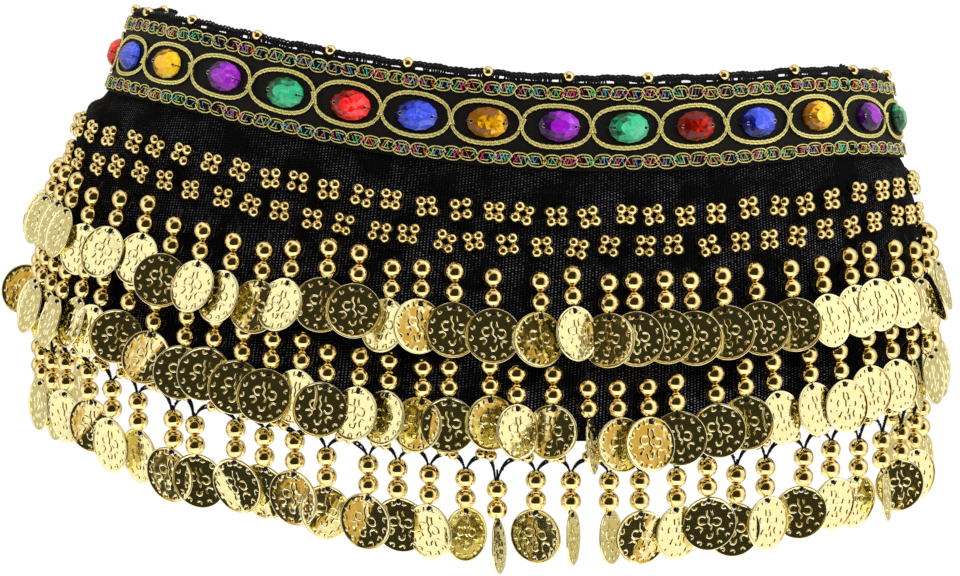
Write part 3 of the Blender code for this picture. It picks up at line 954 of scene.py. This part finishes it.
def build_cloth():
    builder = sheet(CLOTH_TOP, CLOTH_HEM, CLOTH_GRID, CLOTH_FACES, ripple)
    return dress(builder.finish("knit_panel", cloth_material()), "cloth_panel")


def pucker(along, level):
    """Slight unevenness of the ribbon, in millimetres outwards."""
    fine = 0.10 * np.sin(along * 0.55) * np.sin(level * 0.3)
    return fine + 0.08 * np.sin(along * 0.21 + level * 0.12)


def build_ribbon():
    builder = sheet(-RIBBON_HALF_HEIGHT, RIBBON_HALF_HEIGHT, RIBBON_GRID, RIBBON_FACES, pucker)
    return dress(builder.finish("satin_ribbon", satin_material()), "ribbon_band")


# Embroidered braids

LINK_THREADS = 9
LINK_HALF_HEIGHT = 2.75
OUTLINE_RADIUS = 0.27
INNER_LINE_RADIUS = 0.22
LINK_THREAD_RADIUS = 0.26
BLACK_THREAD = (0.01, 0.01, 0.012)


def build_braid(name, level, thread):
    """Chain of thin gold loops over crossing threads of many colours."""
    builder = Builder()
    length = 2.0 * PANEL_END * GIRTH
    for link in range(int(length / LINK_PITCH)):
        start = (-0.5 * length + (link + 0.02) * LINK_PITCH) / GIRTH
        middle = level + 0.45 * jitter(link, 31)
        half = LINK_HALF_HEIGHT + 0.2 * jitter(link, 33)
        add_link_outline(builder, start, middle, half, link)
        for number in range(LINK_THREADS):
            add_link_thread(builder, start, middle, half, link, number)
    dress(builder.finish(name + "_embroidery", thread), name)


def add_link_outline(builder, start, middle, half, link):
    """Outer loop of a link and the shorter lines inside it."""
    share = np.linspace(-0.06, 1.06, 12)
    arch = np.clip(1.0 - np.abs(2.0 * share - 1.0) ** 2.6 / 1.36, 0.0, 1.0) ** 0.5
    for side in (-1.0, 1.0):
        slip = 0.10 * jitter(link, side, 35)
        fraction = start + (share + slip) * LINK_PITCH / GIRTH
        lift = 2.15 + 0.25 * np.cos(math.pi * share) * alternating(link)
        path = lifted(fraction, middle + side * half * arch, lift)
        add_tube(builder, path, OUTLINE_RADIUS, sides=5, thread_tint=GOLD_THREAD)
        inner = slice(2, 8) if side > 0.0 else slice(4, 10)
        path = lifted(fraction[inner], middle + side * half * 0.55 * arch[inner], 2.1)
        add_tube(builder, path, INNER_LINE_RADIUS, sides=4, thread_tint=GOLD_THREAD)


def add_link_thread(builder, start, middle, half, link, number):
    """One coloured thread across a link, leaning either way."""
    place = (number + 0.5) / LINK_THREADS + 0.05 * jitter(link, number, 39)
    reach = (half - 0.5) * max(0.25, math.sin(math.pi * place)) ** 0.5
    lean = 0.14 * alternating(number) + 0.08 * jitter(link, number, 40)
    t = np.linspace(-1.0, 1.0, 5)
    across = start + (place + lean * t) * LINK_PITCH / GIRTH
    path = lifted(across, middle + reach * t, 1.55 + (0.45 + 0.1 * (number % 3)) * np.cos(t * 1.4))
    tint = THREAD_TINTS[int(3.0 * (jitter(link, number, 41) + 1.0)) % len(THREAD_TINTS)]
    if jitter(link, number, 43) > 0.35:
        tint = BLACK_THREAD
    add_tube(builder, path, LINK_THREAD_RADIUS, sides=4, thread_tint=tint)


# Laid cords of the ovals: squareness, and in millimetres their insets, height and the length of a turn
OVAL_POWER = 2.3
OVAL_INSETS = (0.0, 0.98)
OVAL_HEIGHT = 2.05
OVAL_CROSSING_LIFT = 0.75
CORD_LAY = 2.5

# Short bindings between the ovals: half height, lean and height off the cloth
BINDING_REACH = 2.4
BINDING_LEAN = 0.9
BINDING_HEIGHT = 2.9


def oval_fraction(position):
    return (position + OVAL_PHASE) / OVALS_ROUND


def oval_arc(share, half_height):
    """Height of an oval's cord at a share of its length: rounder than an ellipse."""
    reach = np.abs(2.0 * share - 1.0) ** OVAL_POWER
    return half_height * np.clip(1.0 - reach, 0.0, 1.0) ** (1.0 / OVAL_POWER)


def add_oval_cord(builder, number, side, inset):
    """Upper or lower half of one cord of an oval, lifted where it crosses over the next one."""
    share = 0.5 - 0.5 * np.cos(np.linspace(0.0, math.pi, 80))
    narrowed = 0.5 + (share - 0.5) * (1.0 - 0.045 * inset)
    level = side * oval_arc(share, OVAL_HALF_HEIGHT - inset)
    waver = 0.22 * np.sin(share * 5.0 + number + side)
    ends = 1.0 - np.sin(math.pi * share)
    over = (number % 2 == 0) == (side > 0.0)
    height = OVAL_HEIGHT + (OVAL_CROSSING_LIFT if over else 0.0) * ends ** 3
    path = lifted(oval_fraction(number + narrowed), level + waver, height)
    add_tube(builder, path, 0.46 - 0.16 * ends ** 2, sides=7, lobes=2, twist=2.0 * math.pi / CORD_LAY,
             thread_tint=GOLD_THREAD)


def build_oval_cords(thread):
    """Ovals of two laid gold cords, bound where one oval meets the next."""
    builder = Builder()
    for number in OVAL_NUMBERS:
        for side in (-1.0, 1.0):
            for inset in OVAL_INSETS:
                add_oval_cord(builder, number, side, inset)
    for number in range(OVAL_NUMBERS.start, OVAL_NUMBERS.stop + 1):
        for shift in (-0.6, 0.6):
            level = np.linspace(-BINDING_REACH, BINDING_REACH, 9)
            lean = BINDING_LEAN * alternating(number) * level / BINDING_REACH + 0.3 * jitter(number, 51)
            path = lifted(oval_fraction(number) + (shift + lean) / GIRTH, level, BINDING_HEIGHT)
            add_tube(builder, path, 0.5, sides=6, lobes=2, twist=3.6, thread_tint=GOLD_THREAD)
    dress(builder.finish("gold_oval_cords", thread), "oval_cord_chain")


# Stones

# Share of the full oval, height and turn of each ring of corners, then the top's height and the stone's
# seat off the cloth, the stones whose painted facet light is darker all over and by how much, and the sewing
# holes
STONE_SIDES = 12
STONE_RINGS = ((1.0, 0.0, 0.0), (1.0, 1.2, 0.0), (0.78, 3.0, 0.5), (0.47, 4.3, 0.0))
STONE_PEAK = 4.45
STONE_SEAT = 1.6
DARKENED_STONES = (-1, 2)
STONE_DARKENING = 0.42
SEWING_HOLE_INSET = 2.1
SEWING_HOLE_RADIUS = 0.7


def stone_points(seed):
    points = []
    for scale, height, phase in STONE_RINGS:
        for corner in range(STONE_SIDES):
            turn = 2.0 * math.pi * (corner + phase) / STONE_SIDES
            points.append((STONE_HALF_LENGTH * scale * math.cos(turn),
                           STONE_HALF_HEIGHT * scale * math.sin(turn), height))
    points.append((1.2 * jitter(seed, 63), 0.9 * jitter(seed, 64), STONE_PEAK))
    return np.array(points)


def stone_faces():
    """Girdle, two rows of facets, a low crown of triangles and a flat base."""
    corner = np.arange(STONE_SIDES)
    following = (corner + 1) % STONE_SIDES
    low, mid, top, peak = (ring * STONE_SIDES for ring in (1, 2, 3, 4))
    girdle = np.stack([corner, following, low + following, low + corner], axis=-1)
    facets = ((low + corner, low + following, mid + corner),
              (mid + corner, low + following, mid + following),
              (mid + corner, mid + following, top + following),
              (mid + corner, top + following, top + corner),
              (top + corner, top + following, 0 * corner + peak))
    crown = np.stack([np.stack(facet, axis=-1) for facet in facets], axis=1)
    return [girdle, crown.reshape(-1, 3), corner[None, ::-1]]


def painted_facet_light(middle, seed, number):
    """Painted light and shade of a facet: the slopes are painted as lit from one side, the top painted bright
    and the outer edge painted darker.
    """
    reach = math.hypot(middle[0] / STONE_HALF_LENGTH, middle[1] / STONE_HALF_HEIGHT)
    uneven = 0.22 * jitter(seed, number, 66)
    # Overall painted light of the stone, lowered on the darkened stones.
    brightness = 0.12 * jitter(seed, 67) - (STONE_DARKENING if seed in DARKENED_STONES else 0.0)
    tone = 0.74 + 0.7 * uneven + brightness
    if reach > 0.50:
        lit = 0.42 * math.cos(math.atan2(middle[1], middle[0]) - 0.7 * jitter(seed, 65))
        tone = 0.44 + lit + uneven + brightness - 0.5 * max(0.0, reach - 0.75)
    return min(1.0, max(0.0, tone))


def stone_mesh(origin, sideways, outward, down, seed):
    """Builder and painted facet light and shade of an oval stone."""
    points = stone_points(seed)
    blocks = stone_faces()
    if float(np.linalg.det(np.stack([sideways, down, outward]))) < 0.0:
        blocks = [block[:, ::-1] for block in blocks]
    builder = Builder()
    builder.add(origin + points[:, :1] * sideways + points[:, 1:2] * down + points[:, 2:] * outward, blocks)
    faces = [face for block in blocks for face in block]
    tones = [painted_facet_light(points[face].mean(axis=0), seed, number) for number, face in enumerate(faces)]
    return builder, tones


def add_stone_sewing(rims, threads, origin, sideways, outward, down):
    """Two sewing holes at the ends of a stone, each with its rim and black stitches."""
    bead = sphere_template(8, 5)
    for side in (-1.0, 1.0):
        place = origin + sideways * side * (STONE_HALF_LENGTH - SEWING_HOLE_INSET) + outward * 3.0
        loop = [place + sideways * x + down * y for x, y in ring_points(SEWING_HOLE_RADIUS, 10)]
        add_tube(rims, loop, 0.2, sides=5, reference=outward, closed=True)
        basis = np.stack([sideways * 0.6, down * 0.6, outward * 0.3])
        add_spheres(threads, [place + outward * 0.05], 1.0, bead, basis)
        end = origin + sideways * side * (STONE_HALF_LENGTH + 0.9) - outward * 0.3
        path = smooth_path([place + outward * 0.2, place + sideways * side * 1.4 + outward * 0.1, end], 6)
        add_tube(threads, path, 0.2, sides=4)


def build_stones(black, rim):
    materials = {colour: stone_material(colour) for colour in STONE_COLOURS}
    for number in OVAL_NUMBERS:
        colour = STONE_COLOURS[(number + 3) % len(STONE_COLOURS)]
        shift = 1.0 + 1.0 * jitter_cad(5, number)
        fraction = oval_fraction(number + 0.5) + shift / 1000.0
        point, sideways, outward, down = frame_at(fraction, 0.4 * jitter_cad(7, number))
        origin = point + outward * STONE_SEAT
        rims = Builder()
        threads = Builder()
        add_stone_sewing(rims, threads, origin, sideways, outward, down)
        builder, tones = stone_mesh(origin, sideways, outward, down, number)
        name = "stone_%02d" % (number - OVAL_NUMBERS.start + 1)
        stone = builder.finish(name + "_faceted", materials[colour], smooth=False)
        # Each facet's painted light and shade, stored as a face attribute.
        tone = stone.data.attributes.new("painted_facet_light", "FLOAT", "FACE")
        tone.data.foreach_set("value", tones)
        dress(stone, name)
        dress(rims.finish(name + "_hole_rims", rim))
        dress(threads.finish(name + "_sewing", black))


# Crochet edging, bead clusters and hem cord

# Chains of the edging: shift down, offset off the cloth, and each stitch's length, height and thickness
EDGING_CHAINS = ((0.3, -0.9, 2.9, 1.7, 0.50), (0.9, -0.4, 2.4, 1.3, 0.42))
EDGING_END = PANEL_END - 0.0012
EDGING_LEGS = 9

# Hem cord, in millimetres: its two threads, its knots and the stitches that hold it at each apex
HEM_LAY = {"spread": 0.24, "radius": 0.36, "pitch": 1.9}
HEM_KNOT_RADIUS = 0.72
HEM_STITCH_SHIFTS = (-1.1, 0.2, 1.2)
HEM_STITCH_RADIUS = 0.5


def path_frame(path, along, centre):
    """Middle of a stitch on a path, with the directions ahead, upward and outward there."""
    def at(place):
        return np.array([np.interp(place, along, path[:, k]) for k in range(3)])

    middle = at(centre)
    ahead = unit(at(min(centre + 0.5, along[-1])) - at(max(centre - 0.5, 0.0)))
    outward = unit(middle * np.array([1.0, 1.0, 0.0]))
    return middle, ahead, unit(np.cross(outward, ahead)), outward


def chain_stitches(builder, path, length, height, radius):
    """Row of small linked loops along a path."""
    along = length_along(path)
    loops = max(1, int(along[-1] / (length * 0.78)))
    for loop in range(loops):
        middle, ahead, upward, outward = path_frame(path, along, (loop + 0.5) * along[-1] / loops)
        tilt = 0.5 * jitter(loop, 71, float(int(middle[0])))
        ring = [middle + ahead * (length * 0.5 * x) + upward * (height * 0.5 * y)
                + outward * (0.35 * x + tilt * 0.3 * y) for x, y in ring_points(1.0, 8)]
        add_tube(builder, ring, radius, sides=4, reference=outward, closed=True)


def build_edging(black, gold):
    crochet = Builder()
    beads = Builder()
    ball = sphere_template(18, 12)
    fraction = np.linspace(-EDGING_END, EDGING_END, 420)
    level = EDGING_LEVEL + 0.30 * np.sin(fraction * GIRTH * 0.21) + 0.2 * np.sin(fraction * GIRTH * 0.63)
    for shift, offset, length, height, radius in EDGING_CHAINS:
        chain_stitches(crochet, lifted(fraction, level + shift, offset), length, height, radius)
    twisted_pair(crochet, lifted(fraction, level + 1.5, -0.7), 0.3, 0.38, 2.6)
    for number in EDGING_BEAD_NUMBERS:
        middle = (number + EDGING_BEAD_PHASE) / EDGING_BEADS_ROUND
        add_spheres(beads, [lifted(middle, EDGING_LEVEL + 0.3, 0.3)], SMALL_BEAD_RADIUS, ball)
        for share in (0.0, 1.0 / 3.0, 2.0 / 3.0):
            edging_legs(crochet, middle + share / EDGING_BEADS_ROUND, number)
    dress(crochet.finish("crochet_edging", black), "edging_cord")
    dress(beads.finish("edging_beads", gold))


def edging_legs(builder, middle, seed):
    """Group of short threads that ties the crochet edging to the ribbon."""
    width = 4.2 + 1.2 * jitter(seed, middle, 75)
    for step in range(EDGING_LEGS):
        place = middle + width * (2.0 * step / (EDGING_LEGS - 1) - 1.0) / GIRTH
        if abs(place) > EDGING_END:
            continue
        top = lifted(place, EDGING_LEVEL + 1.6, -0.6)
        foot = lifted(place + 0.8 * jitter(seed, step, 77) / GIRTH, CLOTH_TOP + 0.9, -0.4)
        add_tube(builder, [top, (top + foot) / 2, foot], 0.52, sides=5)


def hem_apex(place):
    """Girth fraction of a place counted in strands of the hem."""
    return (place + ROW_PHASES[2]) / STRANDS_ROUND


def cluster_droop(index):
    """How much lower the clusters hang at both sides, in millimetres."""
    return 1.6 * min(3.0, max(0.0, -11.0 - index)) + max(0.0, index - 14.0)


def build_clusters(gold):
    """Two rows of four-bead clusters on the cloth and one along the hem's cord."""
    builder = Builder()
    ball = sphere_template(12, 8)
    for row, level in enumerate(CLUSTER_LEVELS):
        for index in CLUSTER_RANGE:
            fraction = (index + CLUSTER_PHASES[row] + 0.10 * jitter(row, index, 81)) / STRANDS_ROUND
            place = level + cluster_droop(index) + 0.8 * jitter(row, index, 83)
            add_cluster(builder, ball, fraction, place, CLUSTER_OFFSET, row * 50 + index)
    for index in strands(2):
        fraction = hem_apex(index - 0.5 + 0.1 * jitter(index, 85))
        add_cluster(builder, ball, fraction, HEM_CLUSTER_LEVEL, HEM_CLUSTER_OFFSET, index + 300)
    dress(builder.finish("bead_clusters", gold))


def add_cluster(builder, ball, fraction, level, offset, seed):
    point, sideways, outward, down = frame_at(fraction, level)
    point = point + outward * (offset + max(0.0, float(ripple(fraction * GIRTH, level))))
    sideways, down = turned(sideways, down, 0.28 * jitter(seed, 87))
    for column in (-1.0, 1.0):
        for line in (-1.0, 1.0):
            x = column * CLUSTER_HALF_WIDTH + 0.35 * jitter(seed, column, line)
            y = line * CLUSTER_HALF_HEIGHT + 0.35 * jitter(seed, line, column + 3.0)
            radius = SMALL_BEAD_RADIUS * (1.0 + 0.06 * jitter(seed, column * 5 + line))
            add_spheres(builder, [point + sideways * x + down * y], radius, ball)


def add_hem_loop(builder, index, side):
    """Laid cord from the apex on one side of a strand down to the strand's root."""
    foot, drop = strand_place(2, index)
    fall = FIRST_BEAD_LEVELS[2] - ROOT_RISE + drop - HEM_APEX_LEVEL
    apex = hem_apex(index + 0.5 * side)
    share = np.linspace(0.0, 1.0, 24)
    run = apex + (foot + side * 0.45 / GIRTH - apex) * share ** 0.8
    level = HEM_APEX_LEVEL + fall * share ** (2.9 + 0.6 * jitter(index, side, 7))
    gap = (0.35 + 1.5 * np.sin(math.pi * share ** 1.4)) * (1.0 + 0.3 * jitter(index, side, 6))
    for line in (0.0, 1.0):
        path = lifted(run, level + line * gap * (1.0 - 0.6 * share), -1.0 + 0.4 * line)
        twisted_pair(builder, path, **HEM_LAY)
    knotted = slice(3, -2, 5)
    knots = lifted(run[knotted], HEM_APEX_LEVEL + fall * share[knotted] ** 3.0 + 0.5, -0.7)
    chain_knots(builder, knots, HEM_KNOT_RADIUS)


def build_hem_cord(black):
    """Crochet cord that dips from each apex under the cloth to the strands."""
    builder = Builder()
    for index in strands(2):
        for side in (-1.0, 1.0):
            add_hem_loop(builder, index, side)
    for index in range(ROW_RANGES[2][0], ROW_RANGES[2][1] + 2):
        apex = hem_apex(index - 0.5)
        for shift in HEM_STITCH_SHIFTS:
            low = lifted(apex + shift / GIRTH, HEM_APEX_LEVEL, -1.0)
            high = lifted(apex + 1.6 * shift / GIRTH, CLOTH_HEM - 0.8, -0.8)
            add_tube(builder, [high, (low + high) / 2, low], HEM_STITCH_RADIUS, sides=5)
    dress(builder.finish("hem_crochet_cord", black))


def chain_knots(builder, centres, size):
    ball = sphere_template(6, 4)
    for number, centre in enumerate(centres):
        spin = 1.0 + 0.3 * jitter(number, float(centre[0]))
        basis = np.diag([size * spin, size, size * (2.0 - spin)])
        add_spheres(builder, [centre], 1.0, ball, basis)


# Plain ties at the back keep their CAD form

def dress_ties(material):
    for name in ("tie_left", "tie_right", "tie_knot", "tie_tail_left", "tie_tail_right"):
        for slot in bpy.data.objects[name].material_slots:
            slot.material = material


# Studio

# Camera and light in metres and radians, floor in millimetres
CAMERA_HEIGHT = 0.060
CAMERA_DISTANCE = 1.340
CAMERA_SIDE = -0.0098
CAMERA_PITCH = 0.1069
CAMERA_LENS = 106.9
SENSOR_WIDTH = 36.0
FAR_LIMIT = 200.0
FLOOR_LEVEL = -1000.0
FLOOR_RINGS = (400.0, 800.0, 1200.0, 1500.0)
FLOOR_CORNERS = 96
FILL_PLACE = (0.3, -1.35, 0.95)
FILL_SIZE = 1.3
FILL_ENERGY = 24.0

# The room that coins and beads mirror: colour far behind, then patches laid over it in turn, each with
# its direction, the angles in degrees at which it is full and gone, and its colour
ROOM_COLOUR = (0.62, 0.56, 0.38)
ROOM_PATCHES = (
    ((0.0, -1.0, 0.25), 84.0, 122.0, (1.0, 1.0, 0.96)),
    ((-0.93, -0.35, 0.2), 20.0, 45.0, (1.10, 1.09, 1.04)),
    ((0.93, -0.35, 0.2), 20.0, 45.0, (1.08, 1.07, 1.02)),
    ((0.1, -0.45, -1.0), 26.0, 48.0, (0.62, 0.42, 0.17)),
    ((-0.62, -0.25, 0.78), 14.0, 24.0, (0.14, 0.10, 0.03)),
    ((0.74, -0.35, 0.50), 18.0, 30.0, (1.30, 1.28, 1.20)),
    ((0.0, -1.0, 0.04), 55.0, 60.0, (0.66, 0.42, 0.09)),
    ((0.55, -1.0, 0.62), 13.0, 17.0, (0.04, 0.030, 0.012)),
    ((-0.95, -1.0, -0.25), 13.0, 17.0, (0.030, 0.026, 0.012)),
    ((-0.02, -1.0, 0.04), 42.0, 45.0, (0.030, 0.028, 0.014)),
)
BACKDROP_COLOUR = (1.05, 1.05, 1.05)


def build_camera():
    data = bpy.data.cameras.new("photo_camera")
    data.sensor_width = SENSOR_WIDTH
    data.lens = CAMERA_LENS
    data.clip_end = FAR_LIMIT
    camera = bpy.data.objects.new("photo_camera", data)
    camera.location = (CAMERA_SIDE, -CAMERA_DISTANCE, CAMERA_HEIGHT)
    camera.rotation_euler = (math.pi / 2.0 - CAMERA_PITCH, 0.0, 0.0)
    bpy.context.scene.collection.objects.link(camera)
    bpy.context.scene.camera = camera


def build_floor():
    """Round floor well below the scarf, a fan of triangles inside rings of quads."""
    nodes = new_material("studio_floor")
    tone = nodes.mix(nodes.noise(nodes.object_place(), 3.0), (0.93, 0.93, 0.93), (0.95, 0.95, 0.95))
    material = nodes.shade(Base_Color=tone, Roughness=0.9, Emission_Color=(1.0, 1.0, 1.0),
                           Emission_Strength=0.35)
    points = [(0.0, 0.0, FLOOR_LEVEL)]
    for size in FLOOR_RINGS:
        points += [(x, y, FLOOR_LEVEL) for x, y in ring_points(size, FLOOR_CORNERS)]
    corner = np.arange(FLOOR_CORNERS)
    fan = np.stack([0 * corner, 1 + corner, 1 + (corner + 1) % FLOOR_CORNERS], axis=-1)
    quads = grid_faces(len(FLOOR_RINGS), FLOOR_CORNERS, closed=True)[:, ::-1] + 1
    builder = Builder()
    builder.add(points, [fan, quads])
    builder.finish("studio_floor", material, smooth=False)


def build_world():
    """Pale room for mirrors: dark behind the camera, a warm ring round that, then white."""
    world = bpy.data.worlds.new("studio_world")
    bpy.context.scene.world = world
    nodes = Nodes(world)
    nodes.tree.nodes.clear()
    place = nodes.node("ShaderNodeTexCoord").outputs["Generated"]
    room = ROOM_COLOUR
    for direction, full, gone, colour in ROOM_PATCHES:
        along = nodes.node("ShaderNodeVectorMath", {"operation": "DOT_PRODUCT"}, i0=place,
                           i1=Vector(direction).normalized())
        share = nodes.spread(along.outputs["Value"], math.cos(math.radians(gone)),
                             math.cos(math.radians(full)), kind="SMOOTHSTEP")
        room = nodes.mix(share, room, colour)
    seen = nodes.node("ShaderNodeLightPath").outputs["Is Camera Ray"]
    shown = nodes.mix(seen, room, BACKDROP_COLOUR)
    background = nodes.node("ShaderNodeBackground", Color=shown, Strength=1.0)
    nodes.node("ShaderNodeOutputWorld", Surface=background.outputs[0])


def build_fill_light():
    """Large soft light above the camera that brightens cloth, thread and stones."""
    data = bpy.data.lights.new("soft_fill", "AREA")
    data.shape = "DISK"
    data.size = FILL_SIZE
    data.energy = FILL_ENERGY
    light = bpy.data.objects.new("soft_fill", data)
    light.location = FILL_PLACE
    light.rotation_euler = Vector(FILL_PLACE).to_track_quat("Z", "Y").to_euler()
    light.visible_glossy = False
    bpy.context.scene.collection.objects.link(light)


def build_view():
    scene = bpy.context.scene
    scene.view_settings.view_transform = "Standard"
    scene.view_settings.look = "None"
    scene.view_settings.exposure = 0.0
    scene.view_settings.gamma = 1.0


def main():
    build_camera()
    build_world()
    build_floor()
    build_fill_light()
    build_view()
    gold = gold_material("polished_gold_bead", (1.0, 0.83, 0.42), 0.06, 0.10, 260.0, 0.75)
    black_yarn = yarn_material("black_crochet_yarn", (0.006, 0.006, 0.008), 0.7)
    thread = thread_material()
    rim = gold_material("stone_hole_rim", (0.80, 0.76, 0.66), 0.12, 0.05, 500.0)
    cloth = build_cloth()
    ribbon = build_ribbon()
    build_braid("braid_upper", BRAID_LEVELS[0], thread)
    build_braid("braid_lower", BRAID_LEVELS[1], thread)
    build_oval_cords(thread)
    build_stones(black_yarn, rim)
    build_edging(black_yarn, gold)
    build_clusters(gold)
    template = coin_template()
    coin_gold = coin_material()
    for row, name in enumerate(("coin_row_upper", "coin_row_middle", "coin_row_hem")):
        build_coin_row(row, name, gold, coin_gold, black_yarn, template)
    build_hem_cord(black_yarn)
    dress_ties(yarn_material("black_knit_tie", (0.008, 0.008, 0.010), 0.8))


main()
bpy.context.view_layer.update()
